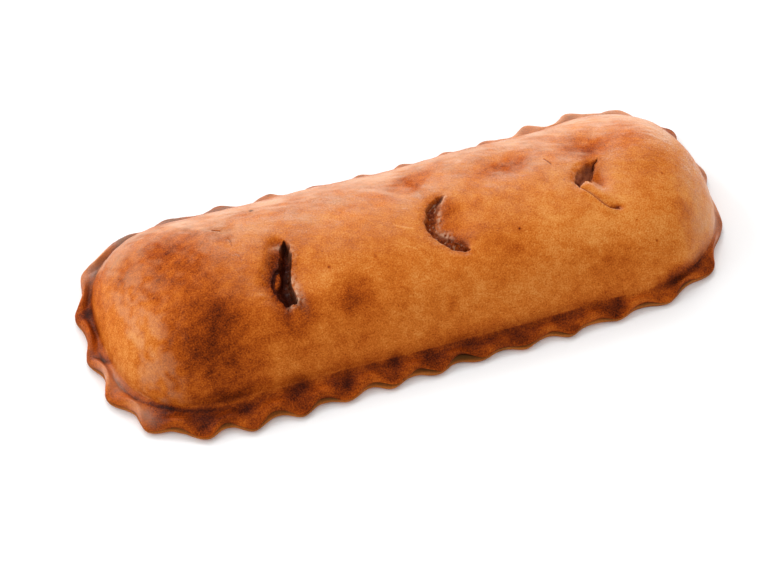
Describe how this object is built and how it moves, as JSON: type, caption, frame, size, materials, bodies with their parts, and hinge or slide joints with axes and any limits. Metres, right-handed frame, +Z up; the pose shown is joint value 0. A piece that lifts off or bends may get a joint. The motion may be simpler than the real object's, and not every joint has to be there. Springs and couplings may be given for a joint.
{
  "type": "empanada",
  "caption": "Long baked empanada: a domed golden-brown pastry pillow with a fluted sealed rim and half-moon steam vents, resting flat on its base.",
  "frame": {"origin": "middle of the bounding box, on the flat underside that the piece rests on", "axes": "+X along the length, +Y away from the pictured near side, +Z up through the crown"},
  "size_m": [0.1822, 0.0754, 0.0249],
  "materials": {
    "baked_crust": "egg-washed baked pastry, satin, with darker glossy wash in the groove and vents"
  },
  "bodies": {
    "root": {"empanada": "baked_crust"}
  },
  "joints": []
}
